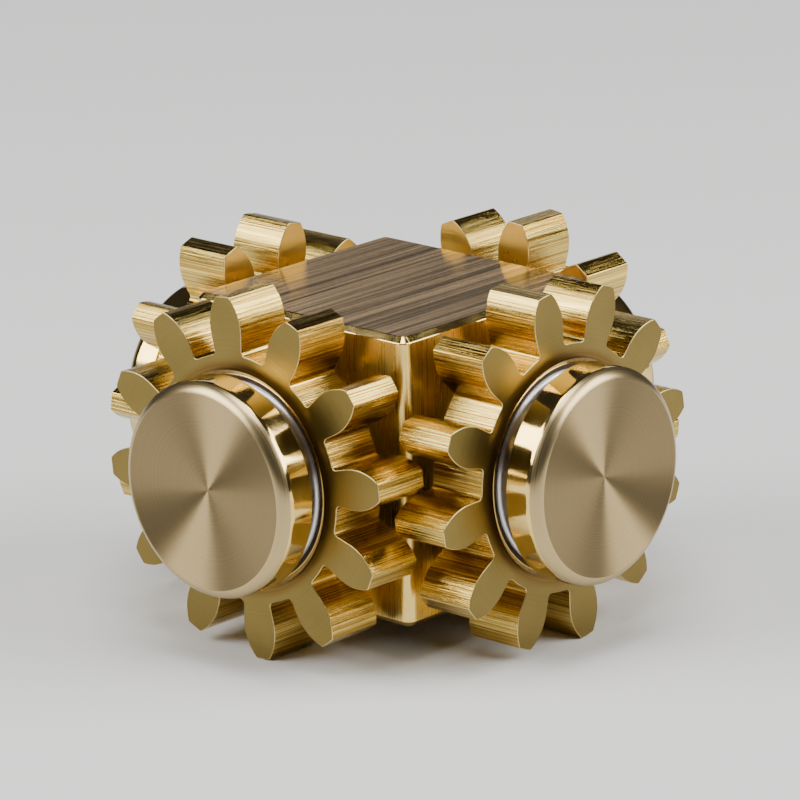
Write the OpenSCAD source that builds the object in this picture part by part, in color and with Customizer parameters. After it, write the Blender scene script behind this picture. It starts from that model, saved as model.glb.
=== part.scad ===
// Geared desk cube: a brass block with four meshing gears, each on a ball bearing under a dished button.
// The four sides are alike. Each is drawn with its axle along +Z and +Y up, then turned to its side.

/* [Block] */
// Width of the square block across its polished sides
block_side = 17; // [14:0.1:22]
// Height of the block between its two brushed faces
block_height = 17.8; // [14:0.1:24]
// Bevel round the top and the bottom face
block_bevel = 0.35; // [0.1:0.05:0.8]
// Rounding of the four upright edges
block_edge_r = 0.6; // [0.2:0.1:2]

/* [Gears] */
// Teeth on each gear
teeth = 12; // [10:1:16]
// Gap between the block's side and the gear's inner face
gear_gap = 1.2; // [0.6:0.1:3]
// How far a tooth reaches past its neighbour's inner face
mesh_depth = 1.3; // [0.8:0.01:1.56]
// Thickness of the lip that stops the bearing at the back of its seat
seat_floor = 0.675; // [0.4:0.025:2]
// Width of that lip
seat_lip = 0.75; // [0.5:0.05:0.95]
// Wall between the bearing seat and the bottom of the teeth
gear_rim = 1.2; // [0.8:0.05:1.45]
// What a tooth is thinner than half a pitch, as play in the mesh
mesh_play = 0.118; // [0.09:0.001:0.4]
// Width of the flat on a tooth's tip
tip_land = 1.04; // [0.7:0.01:1.25]
// Rounding between a tooth and the bottom of the gap
root_fillet = 0.3; // [0.1:0.05:0.4]
// Bevel round the bearing seat's mouth
seat_bevel = 0.25; // [0.1:0.05:0.5]
// Turn of the two X gears from a tooth pointing straight up, in degrees
rest_angle = 8.9; // [0:0.1:15]
// Turn by which the mesh sits to one side of its backlash, in degrees
backlash_share = 0.5; // [-0.5:0.1:0.5]

/* [Bearings] */
// Outside diameter of the bearing, a 1/4 x 1/2 x 1/8 inch size
bearing_od = 12.7; // [10.5:0.1:15.3]
// Bore of the bearing
bearing_bore = 6.35; // [5.25:0.05:7.65]
// Width of the bearing
bearing_width = 3.175; // [2.6:0.025:4]
// Diameter of a ball
ball_d = 1.5875; // [1.3:0.0125:1.9]
// Balls in a bearing
ball_count = 10; // [6:1:12]
// Rounding of the outer ring's two outside corners
race_corner_r = 0.3; // [0.1:0.05:0.4]
// Share of the ball's diameter that sits in each groove
groove_share = 0.16; // [0.1:0.01:0.2]
// Radial thickness of the ball cage
cage_wall = 0.62; // [0.4:0.02:0.76]
// Material left beside each pocket of the cage
cage_web = 0.3; // [0.15:0.05:0.4]

/* [Buttons] */
// Diameter of the button
button_d = 13.2; // [10.8:0.1:16]
// Height of the button's round side and rim
button_height = 2.45; // [1.8:0.05:5]
// Gap between the gear's face and the button
button_gap = 0.95; // [0.4:0.05:2]
// Rounding of the button's rim
rim_r = 0.9; // [0.3:0.05:1.4]
// Width of the polished rim from the dish to the button's side
rim_width = 0.65; // [0.2:0.05:1.4]
// Depth of the dish
dish_depth = 0.45; // [0.1:0.05:0.9]
// Wall of the shoulder and the spacer that clamp the bearing's inner ring
shoulder_wall = 0.925; // [0.4:0.025:1.025]
// Diameter of the thread that holds the button in the block
thread_d = 5; // [3:0.5:6]
// How far the ends of the threads stay outside the block's crossing of the four
core_wall = 0.8; // [0.6:0.1:2]

/* [Clearances] */
// Play between a ball and its grooves or its pocket
ball_play = 0.03; // [0.01:0.01:0.05]
// Play between a pin and the hole that it passes through
pin_play = 0.03; // [0.01:0.01:0.1]
// Room past the end of the thread
thread_room = 0.4; // [0.1:0.1:0.5]
// Least width of the ring where the stem's end bears on the block
stem_seat = 0.05; // [0.02:0.01:0.06]

/* [Hidden] */

// Where each side's axle points, turned about the upright axis from +X
RIGHT = 0;
BACK = 90;
LEFT = 180;
FRONT = 270;

// Distances along an axle, from the middle of the block
block_face = block_side / 2;
gear_inner = block_face + gear_gap;
gear_outer = gear_inner + seat_floor + bearing_width;
bearing_inner = gear_inner + seat_floor;
bearing_middle = gear_outer - bearing_width / 2;
button_back_face = gear_outer + button_gap;
button_front = button_back_face + button_height;

// Radii of a gear
gear_tip_r = gear_inner + mesh_depth;
gear_root_r = bearing_od / 2 + gear_rim;
gear_pitch_r = gear_root_r + (gear_tip_r - gear_root_r) / 3;
tooth_pitch = 360 / teeth;
tooth_half = asin((PI * gear_inner / teeth - mesh_play) / 2 / gear_pitch_r);
tip_half = asin(tip_land / 2 / gear_tip_r);

// Arc of a tooth's upper flank: tangent to the straight flank at the pitch circle, and through the tip's corner
pitch_point = gear_pitch_r * [cos(tooth_half), sin(tooth_half)];
tip_point = gear_tip_r * [cos(tip_half), sin(tip_half)];
flank_normal = [sin(tooth_half), -cos(tooth_half)];
flank_chord = tip_point - pitch_point;
flank_r = (flank_chord * flank_chord) / (2 * (flank_chord * flank_normal));
flank_centre = pitch_point + flank_r * flank_normal;
flank_arc_start = atan2(tip_point.y - flank_centre.y, tip_point.x - flank_centre.x);
flank_arc_end = tooth_half + 90;

// Fillet between a tooth's straight flank and the root circle
fillet_centre_r = gear_root_r + root_fillet;
fillet_turn = tooth_half + asin(root_fillet / fillet_centre_r);
fillet_centre = fillet_centre_r * [cos(fillet_turn), sin(fillet_turn)];

// Neighbouring gears mesh when their turns add up to half a tooth pitch
x_gear_turn = rest_angle;
y_gear_turn = tooth_pitch / 2 + backlash_share - rest_angle;
lowest_turn = max(min(x_gear_turn, y_gear_turn) - tip_half, 0);
middle_height = max(gear_tip_r * cos(lowest_turn), block_height / 2);

// Radii of a bearing
ball_circle_r = (bearing_od + bearing_bore) / 4;
groove_r = ball_d / 2 + ball_play;
land_gap = ball_d / 2 - groove_share * ball_d;
outer_land_r = ball_circle_r + land_gap;
inner_land_r = ball_circle_r - land_gap;
cage_width = ball_d + 2 * (ball_play + cage_web);

// Radii of a button
button_r = button_d / 2;
rim_centre_r = button_r - rim_r;
dish_edge_r = button_r - rim_width;
dish_r = (pow(dish_edge_r, 2) + pow(dish_depth, 2)) / (2 * dish_depth);
dish_edge = button_front - rim_r + sqrt(pow(rim_r, 2) - pow(max(rim_r - rim_width, 0), 2));
shoulder_r = bearing_bore / 2 + shoulder_wall;
stem_r = bearing_bore / 2 - pin_play;
thread_r = thread_d / 2;
thread_end = thread_r + core_wall;
hole_r = thread_r + pin_play;
end_bevel = thread_d / 10;
mouth_bevel = min(end_bevel, stem_r - stem_seat - hole_r);
drill_tip = thread_r * tan(31);

$fn = 96;
OVER = 1;
FLANK_STEPS = 8;
FILLET_STEPS = 4;
ROOT_STEPS = 2;

BRASS = [0.80, 0.64, 0.33];
SATIN_BRASS = [0.66, 0.55, 0.36];
STEEL = [0.78, 0.79, 0.82];
CAGE_STEEL = [0.62, 0.63, 0.65];

// Puts a side's pieces, drawn along +Z with +Y up, onto the side that a turn points at
module on_side(turn) {
    translate([0, 0, middle_height])
        rotate([0, 0, turn])
            rotate([90, 0, 90])
                children();
}

// A ring's cross-section between two radii and two distances along the axle
module ring_section(inner_r, outer_r, from_z, to_z) {
    translate([inner_r, from_z])
        square([outer_r - inner_r, to_z - from_z]);
}

// A square section with its four corners cut off at 45 degrees
module bevelled_section(width, height, bevel) {
    polygon([
        [-width / 2 + bevel, -height / 2], [width / 2 - bevel, -height / 2],
        [width / 2, -height / 2 + bevel], [width / 2, height / 2 - bevel],
        [width / 2 - bevel, height / 2], [-width / 2 + bevel, height / 2],
        [-width / 2, height / 2 - bevel], [-width / 2, -height / 2 + bevel]
    ]);
}

// The block's plan, a square with rounded corners
module block_plan() {
    reach = block_face - block_edge_r;
    union() {
        square([block_side, 2 * reach], center = true);
        square([2 * reach, block_side], center = true);
        for (x = [-reach, reach], y = [-reach, reach])
            translate([x, y])
                circle(r = block_edge_r);
    }
}

// A tapped hole in one side of the block, drilled towards the middle
module tapped_hole() {
    hole_end = thread_end - thread_room;
    translate([0, 0, hole_end])
        cylinder(r = hole_r, h = block_face - hole_end + OVER);
    translate([0, 0, hole_end - drill_tip])
        cylinder(r1 = 0, r2 = hole_r, h = drill_tip);
    translate([0, 0, block_face - mouth_bevel])
        cylinder(r1 = hole_r, r2 = hole_r + mouth_bevel + OVER, h = mouth_bevel + OVER);
}

module block() {
    color(BRASS)
        difference() {
            translate([0, 0, middle_height])
                intersection() {
                    linear_extrude(height = block_height, center = true)
                        block_plan();
                    rotate([90, 0, 0])
                        linear_extrude(height = block_side + OVER, center = true)
                            bevelled_section(block_side, block_height, block_bevel);
                    rotate([90, 0, 90])
                        linear_extrude(height = block_side + OVER, center = true)
                            bevelled_section(block_side, block_height, block_bevel);
                }
            for (turn = [RIGHT, BACK, LEFT, FRONT])
                on_side(turn)
                    tapped_hole();
        }
}

// Points along an arc, both ends included
function arc(centre, r, from, to, steps) = [
    for (i = [0 : steps])
        let (turn = from + (to - from) * i / steps)
            centre + r * [cos(turn), sin(turn)]
];

function turned(points, turn) = [
    for (p = points)
        [p.x * cos(turn) - p.y * sin(turn), p.x * sin(turn) + p.y * cos(turn)]
];

// Half of a tooth along +X, from the middle of its tip to the middle of the gap:
// a flat tip, an arc down to the pitch circle, a straight flank, a fillet and the root circle
function half_tooth() = concat(
    [[gear_tip_r, 0]],
    arc(flank_centre, flank_r, flank_arc_start, flank_arc_end, FLANK_STEPS),
    arc(fillet_centre, root_fillet, tooth_half - 90, fillet_turn - 180, FILLET_STEPS),
    arc([0, 0], gear_root_r, fillet_turn, tooth_pitch / 2, ROOT_STEPS)
);

// One tooth's outline from gap to gap, its doubled middle points left out
function tooth_outline() =
    let (half = half_tooth(), last = len(half) - 1)
        concat(
            [for (i = [last - 1 : -1 : 1]) [half[i].x, -half[i].y]],
            [for (i = [0 : last]) half[i]]
        );

// The toothed outline, with one tooth turned by the given angle from straight up
module gear_plan(turn) {
    outline = tooth_outline();
    polygon([
        for (i = [0 : teeth - 1])
            each turned(outline, turn + 90 + i * tooth_pitch)
    ]);
}

// A gear and its stepped bearing seat
module gear(turn) {
    seat_r = bearing_od / 2;
    color(BRASS)
        difference() {
            translate([0, 0, gear_inner])
                linear_extrude(height = gear_outer - gear_inner)
                    gear_plan(turn);
            translate([0, 0, bearing_inner])
                cylinder(r = seat_r, h = gear_outer - bearing_inner + OVER);
            translate([0, 0, gear_inner - OVER])
                cylinder(r = seat_r - seat_lip, h = seat_floor + 2 * OVER);
            translate([0, 0, gear_outer - seat_bevel])
                cylinder(r1 = seat_r, r2 = seat_r + seat_bevel + OVER, h = seat_bevel + OVER);
        }
}

// The bearing's outer ring, its two outside corners rounded and a ball groove inside
module outer_ring() {
    outside_r = bearing_od / 2;
    corner_x = outside_r - race_corner_r;
    color(STEEL)
        rotate_extrude()
            difference() {
                union() {
                    ring_section(outer_land_r, corner_x, bearing_inner, gear_outer);
                    ring_section(outer_land_r, outside_r, bearing_inner + race_corner_r, gear_outer - race_corner_r);
                    for (z = [bearing_inner + race_corner_r, gear_outer - race_corner_r])
                        translate([corner_x, z])
                            circle(r = race_corner_r);
                }
                translate([ball_circle_r, bearing_middle])
                    circle(r = groove_r);
            }
}

// The bearing's inner ring, with a ball groove outside
module inner_ring() {
    color(STEEL)
        rotate_extrude()
            difference() {
                ring_section(bearing_bore / 2, inner_land_r, bearing_inner, gear_outer);
                translate([ball_circle_r, bearing_middle])
                    circle(r = groove_r);
            }
}

// The balls' places round the ball circle
module at_each_ball() {
    for (i = [0 : ball_count - 1])
        rotate([0, 0, i * 360 / ball_count])
            translate([ball_circle_r, 0, bearing_middle])
                children();
}

module ball_cage() {
    color(CAGE_STEEL)
        difference() {
            rotate_extrude()
                ring_section(
                    ball_circle_r - cage_wall / 2,
                    ball_circle_r + cage_wall / 2,
                    bearing_middle - cage_width / 2,
                    bearing_middle + cage_width / 2
                );
            at_each_ball()
                rotate([0, 90, 0])
                    cylinder(r = ball_d / 2 + ball_play, h = 2 * cage_wall, center = true);
        }
}

module balls() {
    color(STEEL)
        at_each_ball()
            sphere(d = ball_d);
}

// The distance ring that holds the bearing's inner ring off the block
module spacer() {
    color(BRASS)
        rotate_extrude()
            ring_section(bearing_bore / 2, shoulder_r, block_face, bearing_inner);
}

// The button: a dished head, a shoulder, a plain stem through the bearing and a threaded end
module button() {
    color(SATIN_BRASS)
        rotate_extrude()
            difference() {
                union() {
                    ring_section(0, rim_centre_r, button_back_face, button_front);
                    ring_section(0, button_r, button_back_face, button_front - rim_r);
                    translate([rim_centre_r, button_front - rim_r])
                        circle(r = rim_r);
                    ring_section(0, shoulder_r, gear_outer, button_back_face);
                    ring_section(0, stem_r, block_face, gear_outer);
                    ring_section(0, thread_r, thread_end + end_bevel, block_face);
                    polygon([
                        [0, thread_end], [thread_r - end_bevel, thread_end],
                        [thread_r, thread_end + end_bevel], [0, thread_end + end_bevel]
                    ]);
                }
                translate([0, dish_edge + dish_r - dish_depth])
                    circle(r = dish_r, $fn = 360);
            }
}

module gear_right() { on_side(RIGHT) gear(x_gear_turn); }
module gear_back() { on_side(BACK) gear(y_gear_turn); }
module gear_left() { on_side(LEFT) gear(x_gear_turn); }
module gear_front() { on_side(FRONT) gear(y_gear_turn); }

block();
gear_right();
gear_back();
gear_left();
gear_front();
on_side(RIGHT) outer_ring();  // outer_ring_right
on_side(BACK) outer_ring();  // outer_ring_back
on_side(LEFT) outer_ring();  // outer_ring_left
on_side(FRONT) outer_ring();  // outer_ring_front
on_side(RIGHT) inner_ring();  // inner_ring_right
on_side(BACK) inner_ring();  // inner_ring_back
on_side(LEFT) inner_ring();  // inner_ring_left
on_side(FRONT) inner_ring();  // inner_ring_front
on_side(RIGHT) ball_cage();  // ball_cage_right
on_side(BACK) ball_cage();  // ball_cage_back
on_side(LEFT) ball_cage();  // ball_cage_left
on_side(FRONT) ball_cage();  // ball_cage_front
on_side(RIGHT) balls();  // balls_right
on_side(BACK) balls();  // balls_back
on_side(LEFT) balls();  // balls_left
on_side(FRONT) balls();  // balls_front
on_side(RIGHT) spacer();  // spacer_right
on_side(BACK) spacer();  // spacer_back
on_side(LEFT) spacer();  // spacer_left
on_side(FRONT) spacer();  // spacer_front
on_side(RIGHT) button();  // button_right
on_side(BACK) button();  // button_back
on_side(LEFT) button();  // button_left
on_side(FRONT) button();  // button_front
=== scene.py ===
"""A geared desk cube: a brass block, four meshing gears on ball bearings, and four dished buttons."""

import math

import bmesh
import bpy
from mathutils import Matrix, Vector


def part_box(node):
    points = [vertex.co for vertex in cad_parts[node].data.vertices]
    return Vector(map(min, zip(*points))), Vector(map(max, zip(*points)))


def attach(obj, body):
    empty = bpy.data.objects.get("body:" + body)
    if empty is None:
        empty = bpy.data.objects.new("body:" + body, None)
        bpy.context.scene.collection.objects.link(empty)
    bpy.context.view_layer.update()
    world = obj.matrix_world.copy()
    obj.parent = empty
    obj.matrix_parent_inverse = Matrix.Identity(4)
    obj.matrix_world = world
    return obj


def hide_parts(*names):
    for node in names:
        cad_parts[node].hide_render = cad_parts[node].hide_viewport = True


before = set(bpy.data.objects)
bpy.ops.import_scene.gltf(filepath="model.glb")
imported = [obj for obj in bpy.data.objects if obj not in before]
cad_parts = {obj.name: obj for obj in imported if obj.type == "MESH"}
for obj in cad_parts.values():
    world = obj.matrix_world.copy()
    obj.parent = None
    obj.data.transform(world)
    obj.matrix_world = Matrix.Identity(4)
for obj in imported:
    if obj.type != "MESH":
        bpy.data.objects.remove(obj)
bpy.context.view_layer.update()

# ---------------------------------------------------------------- sizes, in metres

MM = 0.001

# The sides, and where each one's axle points, in degrees about +Z from +X
SIDES = {"right": 0, "back": 90, "left": 180, "front": 270}

# How far the gears on each pair of sides are turned from a tooth pointing straight up, in degrees
GEAR_TURN = {"right": 8.9, "left": 8.9, "back": 6.6, "front": 6.6}

TEETH = 12
TOOTH_HALF = math.radians(8)
TIP_LAND = 1.04 * MM
ROOT_FILLET = 0.3 * MM
GEAR_RIM = 1.2 * MM
SEAT_BEVEL = 0.25 * MM
SEAT_LIP = 0.75 * MM
GEAR_EDGE = 0.035 * MM

BEARING_BORE_R = 3.175 * MM
RACE_CORNER = 0.3 * MM
LIP_R = 0.06 * MM
STEP_R = 5.98 * MM
STEP_DEPTH = 0.25 * MM
BALL_D = 1.5875 * MM
BALL_COUNT = 10
BALL_PLAY = 0.03 * MM

RIM_R = 0.9 * MM
RIM_STEP = 0.62 * MM
DISH_R = 5.95 * MM
DISH_DEPTH = 0.45 * MM
SHOULDER_R = 4.1 * MM
STEM_PLAY = 0.03 * MM
THREAD_R = 2.5 * MM
THREAD_PITCH = 0.8 * MM
THREAD_DEPTH = 0.32 * MM
THREAD_ROOM = 0.4 * MM
BUTTON_HEIGHT = 2.45 * MM

BLOCK_BEVEL = 0.35 * MM
BLOCK_EDGE_R = 0.6 * MM
MOUTH_DEPTH = 0.5 * MM
MOUTH_SPREAD = 0.7 * MM
PAST_FACE = 0.2 * MM

# Small bevels that take the sharpness off an edge
RING_EDGE = 0.08 * MM
BUTTON_EDGE = 0.1 * MM
BLOCK_SOFTENING = 0.04 * MM


def reach(node, axle_height):
    """The largest distance of a node on the X axle from that axle."""
    return max(math.hypot(v.co.y, v.co.z - axle_height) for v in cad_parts[node].data.vertices)


block_low, block_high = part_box("block")
AXLE_HEIGHT = (block_low.z + block_high.z) / 2
BLOCK_HALF = block_high.x
BLOCK_HALF_HEIGHT = (block_high.z - block_low.z) / 2
GEAR_INNER, GEAR_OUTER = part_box("gear_right")[0].x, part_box("gear_right")[1].x
BEARING_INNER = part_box("outer_ring_right")[0].x
BEARING_MIDDLE = (BEARING_INNER + GEAR_OUTER) / 2
GEAR_TIP_R = reach("gear_right", AXLE_HEIGHT)
SEAT_R = reach("outer_ring_right", AXLE_HEIGHT)
INNER_LAND_R = reach("inner_ring_right", AXLE_HEIGHT)
BALL_CIRCLE_R = (SEAT_R + BEARING_BORE_R) / 2
OUTER_LAND_R = 2 * BALL_CIRCLE_R - INNER_LAND_R
THREAD_END, BUTTON_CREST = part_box("button_right")[0].x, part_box("button_right")[1].x
BUTTON_R = reach("button_right", AXLE_HEIGHT)
RIM_CENTRE_R = BUTTON_R - RIM_R
BUTTON_FRONT = BUTTON_CREST + RIM_R - math.sqrt(RIM_R**2 - (DISH_R - RIM_CENTRE_R) ** 2)
BUTTON_BACK = BUTTON_FRONT - BUTTON_HEIGHT
ROOT_R = SEAT_R + GEAR_RIM
PITCH_R = ROOT_R + (GEAR_TIP_R - ROOT_R) / 3
STEM_R = BEARING_BORE_R - STEM_PLAY


def side_matrix(side):
    """Takes a piece drawn along +Z with +Y up onto its side of the block."""
    turn = Matrix.Rotation(math.radians(SIDES[side] + 90), 4, "Z")
    return Matrix.Translation((0, 0, AXLE_HEIGHT)) @ turn @ Matrix.Rotation(math.radians(90), 4, "X")


# ---------------------------------------------------------------- camera, floor and light

# The camera looks from the corner between the front and the right side, a little from above
VIEW_AZIMUTH = math.radians(42.61)
VIEW_ELEVATION = math.radians(16.48)
VIEW_ROLL = math.radians(-1.25)
VIEW_DISTANCE = 346 * MM
VIEW_LENS = 257
VIEW_SENSOR = 36
AIM_RIGHT = 0.18 * MM
AIM_UP = 1.63 * MM

FLOOR_SIDE = 3.0


def view_axes(azimuth, elevation, roll):
    back = Vector((
        math.sin(azimuth) * math.cos(elevation),
        -math.cos(azimuth) * math.cos(elevation),
        math.sin(elevation),
    ))
    level = Vector((math.cos(azimuth), math.sin(azimuth), 0))
    upright = back.cross(level)
    right = level * math.cos(roll) + upright * math.sin(roll)
    return right, back.cross(right), back


def make_camera():
    right, up, back = view_axes(VIEW_AZIMUTH, VIEW_ELEVATION, VIEW_ROLL)
    place = Vector((0, 0, AXLE_HEIGHT)) + back * VIEW_DISTANCE + right * AIM_RIGHT + up * AIM_UP
    camera = bpy.data.objects.new("camera", bpy.data.cameras.new("camera"))
    camera.data.lens = VIEW_LENS
    camera.data.sensor_width = VIEW_SENSOR
    camera.data.clip_start = 10 * MM
    camera.data.clip_end = 10
    camera.matrix_world = Matrix.Translation(place) @ Matrix((right, up, back)).transposed().to_4x4()
    bpy.context.scene.collection.objects.link(camera)
    bpy.context.scene.camera = camera


def softbox(name, azimuth, elevation, distance, size, power):
    """A white area light that faces the object from a distance. Angles are in degrees, as for the camera."""
    _, _, back = view_axes(math.radians(azimuth), math.radians(elevation), 0)
    lamp = bpy.data.lights.new(name, "AREA")
    lamp.shape = "RECTANGLE"
    lamp.size, lamp.size_y = size
    lamp.energy = power
    box = bpy.data.objects.new(name, lamp)
    box.location = Vector((0, 0, AXLE_HEIGHT)) + back * distance
    box.rotation_mode = "QUATERNION"
    box.rotation_quaternion = back.to_track_quat("Z", "Y")
    bpy.context.scene.collection.objects.link(box)


def make_light():
    world = bpy.data.worlds.new("studio")
    world.use_nodes = True
    world.node_tree.nodes["Background"].inputs["Color"].default_value = (0.035, 0.035, 0.04, 1)
    world.node_tree.nodes["Background"].inputs["Strength"].default_value = 1.0
    bpy.context.scene.world = world
    softbox("overhead_softbox", 42, 84, 0.50, (0.30, 0.30), 2.3)
    softbox("left_softbox", -33, 34, 0.50, (0.38, 0.28), 3.1)
    softbox("right_softbox", 120, 34, 0.50, (0.42, 0.28), 3.4)
    softbox("back_softbox", 222, 22, 0.60, (0.30, 0.12), 0.12)


def make_floor():
    floor_mesh = bpy.data.meshes.new("floor")
    half = FLOOR_SIDE / 2
    corners = [(-half, -half, 0), (half, -half, 0), (half, half, 0), (-half, half, 0)]
    floor_mesh.from_pydata(corners, [], [(0, 1, 2, 3)])
    floor = bpy.data.objects.new("floor", floor_mesh)
    bpy.context.scene.collection.objects.link(floor)
    material = bpy.data.materials.new("pale_floor")
    material.use_nodes = True
    shader = material.node_tree.nodes["Principled BSDF"]
    shader.inputs["Base Color"].default_value = (0.68, 0.68, 0.67, 1)
    shader.inputs["Roughness"].default_value = 0.6
    floor_mesh.materials.append(material)


# ---------------------------------------------------------------- metals


class Metal:
    """A metal with its nodes: a Principled shader that reads Object coordinates."""

    def __init__(self, name):
        self.material = bpy.data.materials.new(name)
        self.material.use_nodes = True
        self.tree = self.material.node_tree
        self.shader = self.tree.nodes["Principled BSDF"]
        self.shader.inputs["Metallic"].default_value = 1
        self.coordinates = self.tree.nodes.new("ShaderNodeTexCoord").outputs["Object"]

    def node(self, kind, inputs=None, **settings):
        """A new node with its settings and inputs; an input is a value or another node's output."""
        made = self.tree.nodes.new(kind)
        for key, value in settings.items():
            setattr(made, key, value)
        for key, value in (inputs or {}).items():
            if isinstance(value, bpy.types.NodeSocket):
                self.tree.links.new(value, made.inputs[key])
            else:
                made.inputs[key].default_value = value
        return made

    def mapped(self, scale=(1, 1, 1)):
        """Object coordinates in millimetres, stretched where a scale is small."""
        return self.node(
            "ShaderNodeMapping", {"Vector": self.coordinates, "Scale": [s / MM for s in scale]}
        ).outputs["Vector"]

    def noise(self, vector, scale, detail=2, roughness=0.5):
        return self.node(
            "ShaderNodeTexNoise", {"Vector": vector, "Scale": scale, "Detail": detail, "Roughness": roughness}
        ).outputs["Fac"]

    def spread(self, value, low, high, clear=(0.3, 0.7)):
        """Takes a value from one range to another, held at both ends."""
        return self.node(
            "ShaderNodeMapRange",
            {"Value": value, "From Min": clear[0], "From Max": clear[1], "To Min": low, "To Max": high},
        ).outputs["Result"]

    def mixed(self, factor, first, second):
        """A colour between two others. Each is three values, or another node's output."""
        first, second = ((*c, 1) if isinstance(c, tuple) else c for c in (first, second))
        mix = self.node("ShaderNodeMix", {"Factor": factor, 6: first, 7: second}, data_type="RGBA")
        return mix.outputs[2]

    def tint(self, tone, dark, light):
        """Colours the metal by a tone from 0 to 1."""
        self.link(self.mixed(tone, dark, light), "Base Color")

    def satin(self, value, low, high):
        """Makes the metal rougher where the value is higher."""
        self.link(self.spread(value, low, high), "Roughness")

    def sums(self, *values):
        total = values[0]
        for value in values[1:]:
            total = self.node("ShaderNodeMath", {0: total, 1: value}, operation="ADD").outputs[0]
        return total

    def times(self, value, factor):
        return self.node("ShaderNodeMath", {0: value, 1: factor}, operation="MULTIPLY").outputs[0]

    def bump(self, height, distance):
        """Bumps of a height from 0 to 1 that stands for the distance, in millimetres."""
        bumps = self.node("ShaderNodeBump", {"Height": height, "Distance": distance * MM, "Strength": 1.0})
        self.link(bumps.outputs["Normal"], "Normal")

    def link(self, output, name):
        self.tree.links.new(output, self.shader.inputs[name])

    def brushed(self, amount):
        """Stretches reflections across the tool marks, by the direction in the piece's own UV map."""
        self.shader.inputs["Anisotropic"].default_value = amount
        tangent = self.node("ShaderNodeTangent", direction_type="UV_MAP", uv_map="grain")
        self.link(tangent.outputs[0], "Tangent")

    def axle_radius(self, axle):
        """The distance from a gear's axle, in millimetres."""
        apart = self.node(
            "ShaderNodeVectorMath", {0: self.coordinates, 1: (0, 0, AXLE_HEIGHT)}, operation="SUBTRACT"
        ).outputs["Vector"]
        keep = [0 if letter == axle else 1 / MM for letter in "xyz"]
        flat = self.node("ShaderNodeVectorMath", {0: apart, 1: keep}, operation="MULTIPLY").outputs["Vector"]
        return self.node("ShaderNodeVectorMath", {0: flat}, operation="LENGTH").outputs["Value"]

    def rings(self, axle, scale, detail=3):
        """Noise that changes only with the distance from the axle."""
        along = self.node("ShaderNodeCombineXYZ", {"X": self.axle_radius(axle)}).outputs["Vector"]
        return self.noise(along, scale, detail)


# Where the turned hub of a gear, darkened with painted shade from the button over it, passes into its satin
# face, in millimetres from the axle
HUB_SHADE_EDGE = (6.9, 7.3)


def turned_face(axle):
    """The satin outer face of a gear, with faint turning marks and a turned hub darkened with painted shade
    from the button over it.
    """
    metal = Metal(f"turned_gear_face_{axle}")
    marks = metal.rings(axle, 7.0, 4)
    grit = metal.noise(metal.mapped(), 14, 3)
    cloud = metal.noise(metal.mapped(), 0.25, 2)
    tone = metal.sums(metal.times(cloud, 0.6), metal.times(marks, 0.4))
    # The face's dark brass is a shaded copy of the brass of the inside faces: painted shade.
    face = metal.mixed(metal.spread(tone, 0, 1), (0.17, 0.122, 0.033), (0.24, 0.172, 0.05))
    # The hub's darker brown is painted shade from the button that overhangs it; only its ring marks are the
    # turning.
    hub = metal.mixed(marks, (0.07, 0.035, 0.008), (0.26, 0.16, 0.04))
    metal.link(metal.mixed(metal.spread(metal.axle_radius(axle), 0, 1, HUB_SHADE_EDGE), hub, face), "Base Color")
    metal.satin(marks, 0.27, 0.38)
    metal.bump(metal.sums(marks, metal.times(grit, 0.8)), 0.008)
    return metal.material


def lit_inside_face():
    """The gears' faces toward the block, smoother than the outside ones; their brighter, more golden brass is
    a lit copy of the same brass: painted light.
    """
    metal = Metal("inside_gear_face_painted_light")
    cloud = metal.noise(metal.mapped(), 0.5, 3)
    metal.tint(metal.spread(cloud, 0, 1), (0.66, 0.47, 0.12), (0.76, 0.56, 0.16))
    metal.satin(cloud, 0.24, 0.34)
    metal.bump(metal.noise(metal.mapped(), 14, 3), 0.003)
    return metal.material


def milled_flank(axle):
    """The bright sides of the teeth, with fine cutter lines along the axle."""
    metal = Metal(f"milled_tooth_flank_{axle}")
    stretch = [0.002 if letter == axle else 1 for letter in "xyz"]
    lines = metal.noise(metal.mapped(stretch), 13, 4, 0.75)
    cloud = metal.noise(metal.mapped(), 0.6, 3)
    tone = metal.spread(lines, 0, 1, (0.40, 0.60))
    metal.tint(tone, (0.34, 0.19, 0.025), (0.93, 0.70, 0.20))
    metal.satin(cloud, 0.09, 0.17)
    metal.bump(lines, 0.022)
    return metal.material


def edge_painted_highlight():
    """The thin bevels round the teeth and the bore, brightened as a painted highlight, with a tone that
    varies at random.
    """
    metal = Metal("gear_edge_painted_highlight")
    rub = metal.noise(metal.mapped(), 5, 4, 0.7)
    # The bright colours of this tint are a painted highlight along the bevels.
    metal.tint(metal.spread(rub, 0, 1), (0.45, 0.33, 0.12), (0.85, 0.66, 0.30))
    metal.satin(rub, 0.32, 0.48)
    metal.bump(rub, 0.006)
    return metal.material


def polished_brass():
    """The block's sides, rubbed upright, and the plain brass parts."""
    metal = Metal("polished_brass")
    cloud = metal.noise(metal.mapped(), 0.35, 4, 0.6)
    rub = metal.noise(metal.mapped((1, 1, 0.01)), 8, 3)
    metal.tint(metal.spread(cloud, 0, 1), (0.86, 0.60, 0.16), (0.95, 0.72, 0.26))
    metal.satin(rub, 0.24, 0.34)
    metal.bump(rub, 0.004)
    return metal.material


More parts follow.
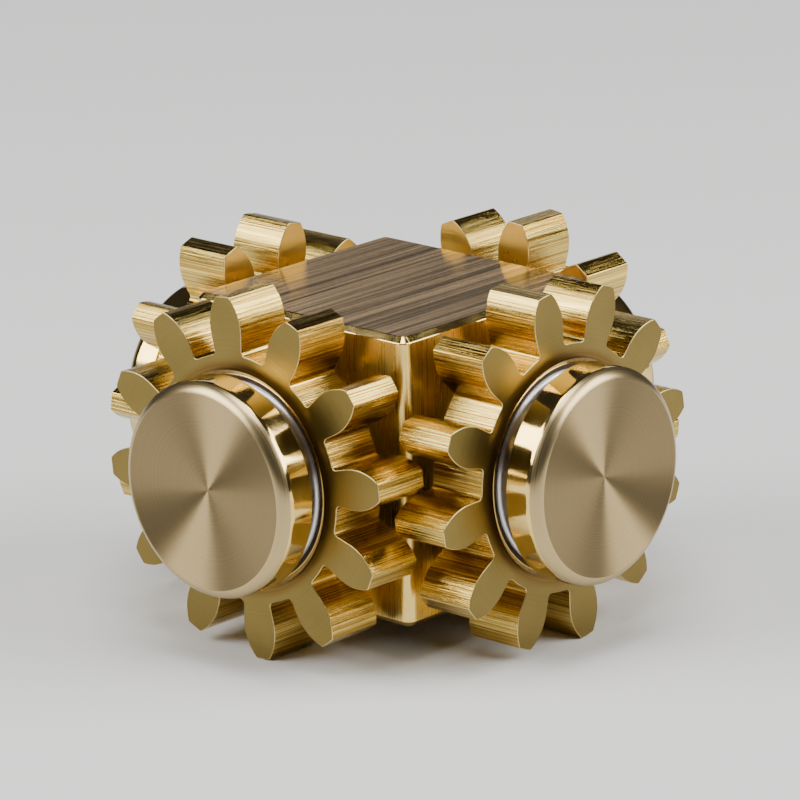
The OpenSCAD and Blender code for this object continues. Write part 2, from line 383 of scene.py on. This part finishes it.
def brushed_brass():
    """The block's top and bottom, brushed along Y."""
    metal = Metal("brushed_brass")
    broad = metal.noise(metal.mapped((1, 0.012, 1)), 0.9, 4, 0.6)
    lines = metal.noise(metal.mapped((1, 0.008, 1)), 4.5, 4, 0.7)
    hair = metal.noise(metal.mapped((1, 0.02, 1)), 20, 2, 0.6)
    tone = metal.sums(metal.times(broad, 0.5), metal.times(lines, 0.5))
    metal.tint(metal.spread(tone, 0, 1, (0.42, 0.58)), (0.04, 0.022, 0.009), (0.58, 0.41, 0.23))
    metal.satin(lines, 0.08, 0.22)
    metal.bump(metal.sums(broad, lines, metal.times(hair, 0.3)), 0.012)
    metal.shader.inputs["Specular Tint"].default_value = (0.88, 0.80, 0.70, 1)
    metal.brushed(0.7)
    return metal.material


def turned_dish(axle):
    """The dish of a button: very fine turning that throws a fan of light."""
    metal = Metal(f"turned_dish_{axle}")
    marks = metal.rings(axle, 16, 2)
    metal.tint(metal.spread(marks, 0, 1), (0.27, 0.198, 0.092), (0.41, 0.305, 0.155))
    metal.satin(marks, 0.46, 0.54)
    metal.bump(marks, 0.004)
    metal.brushed(1.0)
    return metal.material


def satin_rim(axle):
    """The rounded rim of a button, turned smoother than the dish."""
    metal = Metal(f"satin_rim_{axle}")
    marks = metal.rings(axle, 22, 2)
    metal.tint(metal.spread(marks, 0, 1), (0.44, 0.33, 0.16), (0.52, 0.395, 0.20))
    metal.satin(marks, 0.26, 0.34)
    metal.bump(marks, 0.001)
    metal.brushed(0.5)
    return metal.material


def polished_wall():
    """The button's round side, the block's bevels, and the lip round each bearing, where this bright brass on
    the steel ring is a painted highlight.
    """
    metal = Metal("polished_button_wall")
    cloud = metal.noise(metal.mapped(), 0.7, 3)
    metal.tint(metal.spread(cloud, 0, 1), (0.74, 0.51, 0.15), (0.85, 0.62, 0.22))
    metal.satin(cloud, 0.08, 0.16)
    metal.bump(metal.noise(metal.mapped(), 3, 2), 0.002)
    return metal.material


def ground_steel():
    """The bearing's rings, ground in circles."""
    metal = Metal("ground_steel")
    grit = metal.noise(metal.mapped(), 9, 4, 0.7)
    cloud = metal.noise(metal.mapped(), 1.2, 2)
    metal.tint(metal.spread(grit, 0, 1), (0.72, 0.75, 0.84), (0.82, 0.85, 0.93))
    metal.satin(cloud, 0.28, 0.42)
    metal.bump(grit, 0.003)
    metal.brushed(0.8)
    return metal.material


def polished_balls():
    """The bearing's balls."""
    metal = Metal("polished_balls")
    grit = metal.noise(metal.mapped(), 9, 4, 0.7)
    metal.tint(metal.spread(grit, 0, 1), (0.68, 0.70, 0.75), (0.80, 0.82, 0.86))
    metal.satin(grit, 0.06, 0.14)
    metal.bump(grit, 0.001)
    return metal.material


def painted_shade_step():
    """The step round a bearing's outer ring, painted dark as the shade in its recess."""
    metal = Metal("step_with_painted_shade")
    grit = metal.noise(metal.mapped(), 8, 4, 0.7)
    metal.tint(metal.spread(grit, 0, 1), (0.08, 0.055, 0.04), (0.20, 0.15, 0.11))
    metal.satin(grit, 0.4, 0.6)
    metal.bump(grit, 0.004)
    return metal.material


def pressed_steel():
    """The ball cage."""
    metal = Metal("pressed_steel")
    grit = metal.noise(metal.mapped(), 6, 4, 0.7)
    metal.tint(metal.spread(grit, 0, 1), (0.42, 0.42, 0.44), (0.56, 0.56, 0.58))
    metal.satin(grit, 0.3, 0.45)
    metal.bump(grit, 0.006)
    return metal.material


# ---------------------------------------------------------------- mesh helpers

SHARP = math.radians(20)
SUPPORT = 0.02 * MM
ROUND_STEPS = 192


def finished(name, mesh, body, nodes):
    """Makes a mesh a piece of the object: shaded, riding on its body and standing for its CAD nodes."""
    mesh.name = name
    mesh.shade_smooth()
    mesh.set_sharp_from_angle(angle=SHARP)
    piece = bpy.data.objects.new(name, mesh)
    bpy.context.scene.collection.objects.link(piece)
    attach(piece, body)
    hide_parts(*nodes)
    return piece


def evaluated_mesh(holder):
    """The plain mesh that an object's modifiers make. The object goes away."""
    bpy.context.view_layer.update()
    graph = bpy.context.evaluated_depsgraph_get()
    made = holder.evaluated_get(graph)
    mesh = bpy.data.meshes.new_from_object(made, preserve_all_data_layers=True, depsgraph=graph)
    bpy.data.objects.remove(holder)
    return mesh


def arc(centre, radius, start, end, steps):
    """Points along an arc from one angle to another, in degrees, both ends included."""
    turns = [math.radians(start + (end - start) * i / steps) for i in range(steps + 1)]
    return [(centre[0] + radius * math.cos(t), centre[1] + radius * math.sin(t)) for t in turns]


def supported(profile, closed):
    """The profile with a point close to each end of its long stretches, so that flat stretches shade flat.
    A point is (radius, height, metal)."""
    result = []
    count = len(profile)
    for i in range(count if closed else count - 1):
        here, there = profile[i], profile[(i + 1) % count]
        result.append(here)
        length = math.dist(here[:2], there[:2])
        if length > 6 * SUPPORT:
            for share in (SUPPORT / length, 1 - SUPPORT / length):
                point = [a + (b - a) * share for a, b in zip(here[:2], there[:2])]
                result.append((*point, here[2]))
    if not closed:
        result.append(profile[-1])
    return result


def lathe(profile, closed, place, metals):
    """Turns a profile of (radius, height, metal) about +Z. A metal holds from its point to the next.
    A profile that isn't closed starts and ends on the axle.
    U of the UV map 'grain' runs across the turning marks."""
    points = supported(profile, closed)
    bm = bmesh.new()
    uv = bm.loops.layers.uv.new("grain")
    rings = []
    for radius, height, _ in points:
        if radius < SUPPORT / 10:
            rings.append([bm.verts.new((0, 0, height))])
            continue
        turns = [2 * math.pi * k / ROUND_STEPS for k in range(ROUND_STEPS)]
        rings.append([bm.verts.new((radius * math.cos(t), radius * math.sin(t), height)) for t in turns])

    count = len(points)
    for i in range(count if closed else count - 1):
        near, far = rings[i], rings[(i + 1) % count]
        for k in range(ROUND_STEPS):
            m = (k + 1) % ROUND_STEPS
            corners = [(near, k, 0), (near, m, 1), (far, m, 1), (far, k, 0)]
            loop = []
            for ring, index, ahead in corners:
                vert = ring[index % len(ring)]
                if all(vert is not other for other, _ in loop):
                    loop.append((vert, (k + ahead) / ROUND_STEPS))
            face = bm.faces.new([vert for vert, _ in loop])
            face.material_index = points[i][2]
            for corner, (_, round_share) in zip(face.loops, loop):
                corner[uv].uv = ((i + (corner.vert in far)) / count, round_share)
    bmesh.ops.recalc_face_normals(bm, faces=bm.faces)
    mesh = bpy.data.meshes.new("lathed")
    bm.to_mesh(mesh)
    bm.free()
    for metal in metals:
        mesh.materials.append(metal)
    mesh.transform(place)
    return mesh


# ---------------------------------------------------------------- gears


# The finishes of a gear's faces, as the tooth sector marks them
FACE, FLANK, EDGE, INSIDE = 0, 1, 2, 3

# How many steps the round stretches of half a tooth's outline take
TIP_STEPS = 2
FLANK_STEPS = 14
FILLET_STEPS = 8
ROOT_STEPS = 3
HUB_STEPS = 16

# Seams between two teeth are joined where their points lie this close
SEAM = 0.0005 * MM


def tooth_half_outline():
    """Half a tooth along +X, from the middle of its tip to the middle of the gap."""
    tip_half = math.asin(TIP_LAND / 2 / GEAR_TIP_R)
    tip = Vector((math.cos(tip_half), math.sin(tip_half))) * GEAR_TIP_R
    pitch = Vector((math.cos(TOOTH_HALF), math.sin(TOOTH_HALF))) * PITCH_R
    inward = Vector((math.sin(TOOTH_HALF), -math.cos(TOOTH_HALF)))
    chord = tip - pitch
    flank_r = chord.dot(chord) / (2 * chord.dot(inward))
    centre = pitch + inward * flank_r
    flank_start = math.degrees(math.atan2(tip.y - centre.y, tip.x - centre.x))
    flank_end = math.degrees(TOOTH_HALF) + 90
    fillet_centre_r = ROOT_R + ROOT_FILLET
    fillet_turn = TOOTH_HALF + math.asin(ROOT_FILLET / fillet_centre_r)
    fillet_centre = (fillet_centre_r * math.cos(fillet_turn), fillet_centre_r * math.sin(fillet_turn))
    gap = 180 / TEETH
    edge = math.degrees(GEAR_EDGE / flank_r)
    tip_flat = arc((0, 0), GEAR_TIP_R, 0, math.degrees(tip_half - GEAR_EDGE / GEAR_TIP_R), TIP_STEPS)
    flank = arc(centre, flank_r, flank_start + edge, flank_end, FLANK_STEPS)
    fillet_start = math.degrees(TOOTH_HALF) - 90
    fillet = arc(fillet_centre, ROOT_FILLET, fillet_start, math.degrees(fillet_turn) - 180, FILLET_STEPS)
    root = arc((0, 0), ROOT_R, math.degrees(fillet_turn), gap, ROOT_STEPS)[1:]
    return tip_flat + flank + fillet + root


def inset(outline, distance):
    """The outline moved into the metal; it runs anticlockwise, and its ends lie on the sector's sides."""
    result = []
    last = len(outline) - 1
    for i, (x, y) in enumerate(outline):
        before, after = Vector(outline[max(i - 1, 0)]), Vector(outline[min(i + 1, last)])
        here = Vector((x, y))
        ways = [(b - a).normalized() for a, b in ((before, here), (here, after)) if (b - a).length > 0]
        normals = [Vector((-way.y, way.x)) for way in ways]
        middle = sum(normals, Vector((0, 0))).normalized()
        if i in (0, last):
            result.append(here - here.normalized() * distance)
        else:
            result.append(here + middle * (distance / max(middle.dot(normals[0]), 0.5)))
    return [tuple(p) for p in result]


def tooth_sector():
    """One tooth with its share of the hub, as a mesh drawn along +Z. Each face is marked with its finish."""
    half = tooth_half_outline()
    outline = [(x, -y) for x, y in reversed(half[1:])] + half
    shrunk = inset(outline, GEAR_EDGE)
    lip_r = SEAT_R - SEAT_LIP
    gap = 180 / TEETH

    def hub(radius, height):
        return [(x, y, height) for x, y in arc((0, 0), radius, -gap, gap, HUB_STEPS)]

    def level(points, height):
        return [(x, y, height) for x, y in points]

    walls = [
        level(shrunk, GEAR_INNER),
        level(outline, GEAR_INNER + GEAR_EDGE),
        level(outline, GEAR_OUTER - GEAR_EDGE),
        level(shrunk, GEAR_OUTER),
    ]
    bores = [
        hub(SEAT_R + SEAT_BEVEL, GEAR_OUTER),
        hub(SEAT_R, GEAR_OUTER - SEAT_BEVEL),
        hub(SEAT_R, BEARING_INNER),
        hub(lip_r, BEARING_INNER),
        hub(lip_r, GEAR_INNER + GEAR_EDGE),
        hub(lip_r + GEAR_EDGE, GEAR_INNER),
    ]
    bm = bmesh.new()
    finish = bm.faces.layers.int.new("finish")

    def strip(rows, finishes):
        made = [[bm.verts.new(p) for p in row] for row in rows]
        for lower, upper, mark in zip(made, made[1:], finishes):
            for k in range(len(lower) - 1):
                face = bm.faces.new((lower[k], lower[k + 1], upper[k + 1], upper[k]))
                face[finish] = mark
        return made

    outer = strip(walls, [EDGE, FLANK, EDGE])
    inner = strip(bores, [EDGE, FACE, FACE, FACE, EDGE])
    bm.faces.new(outer[3] + inner[0][::-1])
    inside = bm.faces.new(outer[0][::-1] + inner[5])
    inside[finish] = INSIDE
    mesh = bpy.data.meshes.new("tooth_sector")
    bm.to_mesh(mesh)
    bm.free()
    return mesh


def new_tree(name, inputs):
    """A geometry node tree with named inputs of (name, kind, default), and its input and output nodes."""
    tree = bpy.data.node_groups.new(name, "GeometryNodeTree")
    tree.interface.new_socket("Geometry", in_out="OUTPUT", socket_type="NodeSocketGeometry")
    tree.interface.new_socket("Geometry", in_out="INPUT", socket_type="NodeSocketGeometry")
    for label, kind, default in inputs:
        socket = tree.interface.new_socket(label, in_out="INPUT", socket_type=f"NodeSocket{kind}")
        if default is not None:
            socket.default_value = default
    return tree, tree.nodes.new("NodeGroupInput"), tree.nodes.new("NodeGroupOutput")


def grown(name, base, tree, values):
    """The mesh that a tree makes from a base mesh, with its named inputs set."""
    holder = bpy.data.objects.new(name, base)
    bpy.context.scene.collection.objects.link(holder)
    modifier = holder.modifiers.new("grow", "NODES")
    modifier.node_group = tree
    for item in tree.interface.items_tree:
        if item.item_type == "SOCKET" and item.in_out == "INPUT" and item.name in values:
            modifier[item.identifier] = values[item.name]
    return evaluated_mesh(holder)


def gear_tree():
    """Repeats a sector round the axle, joins the seams and gives the cut flanks their own finish."""
    tree, given, result = new_tree("ring_of_teeth", [
        ("Teeth", "Int", TEETH),
        ("Turn", "Float", 0.0),
        ("Face Metal", "Material", None),
        ("Flank Metal", "Material", None),
        ("Edge Metal", "Material", None),
        ("Inside Metal", "Material", None),
    ])
    nodes, links = tree.nodes, tree.links
    points = nodes.new("GeometryNodePoints")
    index = nodes.new("GeometryNodeInputIndex")
    pitch = nodes.new("ShaderNodeMath")
    pitch.operation = "DIVIDE"
    pitch.inputs[0].default_value = 2 * math.pi
    swing = nodes.new("ShaderNodeMath")
    swing.operation = "MULTIPLY_ADD"
    turn = nodes.new("ShaderNodeCombineXYZ")
    place = nodes.new("GeometryNodeInstanceOnPoints")
    real = nodes.new("GeometryNodeRealizeInstances")
    merge = nodes.new("GeometryNodeMergeByDistance")
    merge.inputs["Distance"].default_value = SEAM
    mark = nodes.new("GeometryNodeInputNamedAttribute")
    mark.data_type = "INT"
    mark.inputs["Name"].default_value = "finish"
    links.new(given.outputs["Teeth"], points.inputs["Count"])
    links.new(given.outputs["Teeth"], pitch.inputs[1])
    links.new(index.outputs[0], swing.inputs[0])
    links.new(pitch.outputs[0], swing.inputs[1])
    links.new(given.outputs["Turn"], swing.inputs[2])
    links.new(swing.outputs[0], turn.inputs["Z"])
    links.new(points.outputs[0], place.inputs["Points"])
    links.new(given.outputs["Geometry"], place.inputs["Instance"])
    links.new(turn.outputs[0], place.inputs["Rotation"])
    links.new(place.outputs[0], real.inputs[0])
    links.new(real.outputs[0], merge.inputs["Geometry"])
    latest = merge.outputs[0]
    covers = ((FACE, "Face Metal"), (FLANK, "Flank Metal"), (EDGE, "Edge Metal"), (INSIDE, "Inside Metal"))
    for number, label in covers:
        same = nodes.new("FunctionNodeCompare")
        same.data_type = "INT"
        same.operation = "EQUAL"
        same.inputs[3].default_value = number
        cover = nodes.new("GeometryNodeSetMaterial")
        links.new(mark.outputs[0], same.inputs[2])
        links.new(same.outputs[0], cover.inputs["Selection"])
        links.new(latest, cover.inputs["Geometry"])
        links.new(given.outputs[label], cover.inputs["Material"])
        latest = cover.outputs[0]
    links.new(latest, result.inputs[0])
    return tree


def make_gears():
    tree = gear_tree()
    metals = {axle: (turned_face(axle), milled_flank(axle)) for axle in "xy"}
    edge_highlight_metal = edge_painted_highlight()
    inside_lit_metal = lit_inside_face()
    for side in SIDES:
        face_metal, flank_metal = metals["x" if side in ("right", "left") else "y"]
        mesh = grown(f"{side}_sector", tooth_sector(), tree, {
            "Teeth": TEETH,
            "Turn": math.radians(90 + GEAR_TURN[side]),
            "Face Metal": face_metal,
            "Flank Metal": flank_metal,
            "Edge Metal": edge_highlight_metal,
            "Inside Metal": inside_lit_metal,
        })
        mesh.transform(side_matrix(side))
        finished(f"toothed_gear_{side}", mesh, f"gear_{side}", [f"gear_{side}"])


# ---------------------------------------------------------------- bearings


def outer_ring_profile():
    """A closed section with a ball groove, and outside a raised shoulder in a step painted dark as shade,
    with a lip painted bright as a highlight.
    """
    groove_r = BALL_D / 2 + BALL_PLAY
    open_turn = math.degrees(math.acos((OUTER_LAND_R - BALL_CIRCLE_R) / groove_r))
    # The dark metal is painted shade on the recessed step.
    steel, dark, bright = 0, 1, 2
    step = GEAR_OUTER - STEP_DEPTH
    corner = arc((SEAT_R - RACE_CORNER, BEARING_INNER + RACE_CORNER), RACE_CORNER, -90, 0, 8)
    lip = arc((SEAT_R - LIP_R, step), LIP_R, 0, 180, 10)
    shoulder = arc((STEP_R - STEP_DEPTH, step), STEP_DEPTH, 0, 90, 8)
    groove = arc((BALL_CIRCLE_R, BEARING_MIDDLE), groove_r, open_turn, -open_turn, 14)
    section = [
        (OUTER_LAND_R, BEARING_INNER + RING_EDGE, steel),
        (OUTER_LAND_R + RING_EDGE, BEARING_INNER, steel),
    ]
    section += [(*point, steel) for point in corner]
    # The lip takes the bright polished brass: a painted highlight on the steel ring.
    section += [(*point, bright) for point in lip[:-1]] + [(*lip[-1], dark)]
    section += [(*point, steel) for point in shoulder]
    section += [(OUTER_LAND_R + RING_EDGE, GEAR_OUTER, steel), (OUTER_LAND_R, GEAR_OUTER - RING_EDGE, steel)]
    return section + [(*point, steel) for point in groove]


def inner_ring_profile():
    """A closed section with a ball groove on the outside."""
    groove_r = BALL_D / 2 + BALL_PLAY
    open_turn = math.degrees(math.acos((BALL_CIRCLE_R - INNER_LAND_R) / groove_r))
    section = [(BEARING_BORE_R, BEARING_INNER + RING_EDGE), (BEARING_BORE_R + RING_EDGE, BEARING_INNER)]
    section += [(INNER_LAND_R - RING_EDGE, BEARING_INNER), (INNER_LAND_R, BEARING_INNER + RING_EDGE)]
    section += arc((BALL_CIRCLE_R, BEARING_MIDDLE), groove_r, 180 + open_turn, 180 - open_turn, 14)
    section += [(INNER_LAND_R, GEAR_OUTER - RING_EDGE), (INNER_LAND_R - RING_EDGE, GEAR_OUTER)]
    section += [(BEARING_BORE_R + RING_EDGE, GEAR_OUTER), (BEARING_BORE_R, GEAR_OUTER - RING_EDGE)]
    return [(*point, 0) for point in section]


def ball_tree():
    """Balls spaced evenly round a circle."""
    tree, given, result = new_tree("ring_of_balls", [
        ("Balls", "Int", BALL_COUNT),
        ("Circle Radius", "Float", BALL_CIRCLE_R),
        ("Ball Radius", "Float", BALL_D / 2),
        ("Height", "Float", BEARING_MIDDLE),
        ("Ball Metal", "Material", None),
    ])
    nodes, links = tree.nodes, tree.links
    circle = nodes.new("GeometryNodeMeshCircle")
    ball = nodes.new("GeometryNodeMeshUVSphere")
    ball.inputs["Segments"].default_value = 40
    ball.inputs["Rings"].default_value = 24
    place = nodes.new("GeometryNodeInstanceOnPoints")
    lift = nodes.new("GeometryNodeTransform")
    up = nodes.new("ShaderNodeCombineXYZ")
    real = nodes.new("GeometryNodeRealizeInstances")
    metal = nodes.new("GeometryNodeSetMaterial")
    links.new(given.outputs["Balls"], circle.inputs["Vertices"])
    links.new(given.outputs["Circle Radius"], circle.inputs["Radius"])
    links.new(given.outputs["Ball Radius"], ball.inputs["Radius"])
    links.new(circle.outputs[0], place.inputs["Points"])
    links.new(ball.outputs[0], place.inputs["Instance"])
    links.new(place.outputs[0], lift.inputs["Geometry"])
    links.new(given.outputs["Height"], up.inputs["Z"])
    links.new(up.outputs[0], lift.inputs["Translation"])
    links.new(lift.outputs[0], real.inputs[0])
    links.new(real.outputs[0], metal.inputs["Geometry"])
    links.new(given.outputs["Ball Metal"], metal.inputs["Material"])
    links.new(metal.outputs[0], result.inputs[0])
    return tree


def make_bearings(brass, polish):
    steel = ground_steel()
    cage_steel = pressed_steel()
    step_shade_metal = painted_shade_step()
    ball_steel = polished_balls()
    tree = ball_tree()
    spacer_section = [
        (BEARING_BORE_R, BLOCK_HALF, 0), (SHOULDER_R, BLOCK_HALF, 0),
        (SHOULDER_R, BEARING_INNER, 0), (BEARING_BORE_R, BEARING_INNER, 0),
    ]
    for side in SIDES:
        place = side_matrix(side)
        ring = lathe(outer_ring_profile(), True, place, [steel, step_shade_metal, polish])
        finished(f"bearing_outer_ring_{side}", ring, f"gear_{side}", [f"outer_ring_{side}"])
        ring = lathe(inner_ring_profile(), True, place, [steel])
        finished(f"bearing_inner_ring_{side}", ring, "body", [f"inner_ring_{side}"])
        ring = lathe(spacer_section, True, place, [brass])
        finished(f"spacer_ring_{side}", ring, "body", [f"spacer_{side}"])
        balls = grown(f"{side}_balls", bpy.data.meshes.new("none"), tree, {
            "Balls": BALL_COUNT,
            "Circle Radius": BALL_CIRCLE_R,
            "Ball Radius": BALL_D / 2,
            "Height": BEARING_MIDDLE,
            "Ball Metal": ball_steel,
        })
        balls.transform(place)
        finished(f"bearing_balls_{side}", balls, f"cage_{side}", [f"balls_{side}"])
        for material_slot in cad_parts[f"ball_cage_{side}"].material_slots:
            material_slot.material = cage_steel


# ---------------------------------------------------------------- buttons


def button_profile():
    """From the middle of the dish out over the rim, and in along the back to the end of the thread."""
    dish, satin, polish = 0, 1, 2
    ball_r = (DISH_R**2 + DISH_DEPTH**2) / (2 * DISH_DEPTH)
    sweep = math.degrees(math.asin(DISH_R / ball_r))
    centre = (0, BUTTON_CREST + ball_r - DISH_DEPTH)
    section = [(*p, dish) for p in arc(centre, ball_r, -90, -90 + sweep, 20)]
    section[0] = (0, section[0][1], dish)
    section[-1] = (*section[-1][:2], satin)
    rim_centre = (RIM_CENTRE_R, BUTTON_FRONT - RIM_R)
    crest_turn = math.degrees(math.acos((DISH_R - RIM_CENTRE_R) / RIM_R))
    rim = arc(rim_centre, RIM_R, crest_turn - 2, 0, 16)
    section += [(*p, satin if p[1] > BUTTON_FRONT - RIM_STEP else polish) for p in rim]
    section += [
        (BUTTON_R, BUTTON_BACK + BUTTON_EDGE, polish), (BUTTON_R - BUTTON_EDGE, BUTTON_BACK, polish),
        (SHOULDER_R, BUTTON_BACK, polish), (SHOULDER_R, GEAR_OUTER, polish),
        (STEM_R, GEAR_OUTER, polish), (STEM_R, BLOCK_HALF, polish), (THREAD_R, BLOCK_HALF, polish),
    ]
    height = BLOCK_HALF - THREAD_PITCH / 2
    while height > THREAD_END + THREAD_PITCH:
        section += [
            (THREAD_R, height, polish),
            (THREAD_R - THREAD_DEPTH, height - THREAD_PITCH / 2, polish),
            (THREAD_R, height - THREAD_PITCH * 0.9, polish),
        ]
        height -= THREAD_PITCH
    section += [(THREAD_R - 2 * BUTTON_EDGE, THREAD_END, polish), (0, THREAD_END, polish)]
    return section


def make_buttons(polish):
    turned = {axle: [turned_dish(axle), satin_rim(axle)] for axle in "xy"}
    for side in SIDES:
        metals = turned["x" if side in ("right", "left") else "y"] + [polish]
        mesh = lathe(button_profile(), False, side_matrix(side), metals)
        finished(f"dished_button_{side}", mesh, "body", [f"button_{side}"])


# ---------------------------------------------------------------- block


HOLE_STEPS = 48
BLOCK_EDGE_STEPS = 10


def hole_cutters():
    """Four plain drills with a countersunk mouth, as one mesh."""
    bm = bmesh.new()
    hole_r = THREAD_R + STEM_PLAY
    rings = [
        (hole_r, THREAD_END - THREAD_ROOM),
        (hole_r, BLOCK_HALF - MOUTH_DEPTH),
        (hole_r + MOUTH_SPREAD, BLOCK_HALF + PAST_FACE),
    ]
    steps = HOLE_STEPS
    for side in SIDES:
        loops = []
        for radius, height in rings:
            turns = [2 * math.pi * k / steps for k in range(steps)]
            loops.append([bm.verts.new((radius * math.cos(t), radius * math.sin(t), height)) for t in turns])
        for lower, upper in zip(loops, loops[1:]):
            for k in range(steps):
                m = (k + 1) % steps
                bm.faces.new((lower[k], lower[m], upper[m], upper[k]))
        bm.faces.new(loops[0][::-1])
        bm.faces.new(loops[-1])
        new = [v for loop in loops for v in loop]
        bmesh.ops.transform(bm, matrix=side_matrix(side), verts=new)
    mesh = bpy.data.meshes.new("hole_cutters")
    bm.to_mesh(mesh)
    bm.free()
    return mesh


def block_mesh():
    """The block with rounded upright edges and a bevel round its top and bottom."""
    bm = bmesh.new()
    size = (2 * BLOCK_HALF, 2 * BLOCK_HALF, 2 * BLOCK_HALF_HEIGHT)
    place = Matrix.Translation((0, 0, AXLE_HEIGHT)) @ Matrix.Diagonal((*size, 1))
    bmesh.ops.create_cube(bm, size=1, matrix=place)
    upright = [e for e in bm.edges if abs(e.verts[0].co.z - e.verts[1].co.z) > MM]
    rounding = {"segments": BLOCK_EDGE_STEPS, "profile": 0.5, "affect": "EDGES"}
    bmesh.ops.bevel(bm, geom=upright, offset=BLOCK_EDGE_R, **rounding)
    rims = [e for e in bm.edges if any(abs(f.normal.z) > 0.9 for f in e.link_faces)]
    bmesh.ops.bevel(bm, geom=rims, offset=BLOCK_BEVEL, segments=1, profile=0.5, affect="EDGES")
    mesh = bpy.data.meshes.new("block")
    bm.to_mesh(mesh)
    bm.free()
    return mesh


def make_block(brass, polish):
    """Satin sides, polished bevels, and a top and bottom brushed along Y."""
    scene = bpy.context.scene
    cutter = bpy.data.objects.new("hole_cutters", hole_cutters())
    holder = bpy.data.objects.new("block_holder", block_mesh())
    scene.collection.objects.link(cutter)
    scene.collection.objects.link(holder)
    drill = holder.modifiers.new("drill", "BOOLEAN")
    drill.object = cutter
    drill.solver = "EXACT"
    soften = holder.modifiers.new("soften", "BEVEL")
    soften.width = BLOCK_SOFTENING
    soften.segments = 2
    soften.limit_method = "ANGLE"
    soften.angle_limit = math.radians(25)
    even = holder.modifiers.new("even", "WEIGHTED_NORMAL")
    even.keep_sharp = True
    mesh = evaluated_mesh(holder)
    bpy.data.objects.remove(cutter)
    mesh.materials.clear()
    for metal in (brass, brushed_brass(), polish):
        mesh.materials.append(metal)
    grain = mesh.uv_layers.new(name="grain")
    side, top, bevel = 0, 1, 2
    for polygon in mesh.polygons:
        lean = abs(polygon.normal.z)
        polygon.material_index = side if lean < 0.1 else top if lean > 0.99 else bevel
        for k in polygon.loop_indices:
            co = mesh.vertices[mesh.loops[k].vertex_index].co
            grain.data[k].uv = (co.x / MM + co.z / MM, co.y / MM)
    block = bpy.data.objects.new("square_block", mesh)
    scene.collection.objects.link(block)
    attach(block, "body")
    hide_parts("block")


make_camera()
make_floor()
make_light()
brass = polished_brass()
polish = polished_wall()
make_block(brass, polish)
make_gears()
make_bearings(brass, polish)
make_buttons(polish)
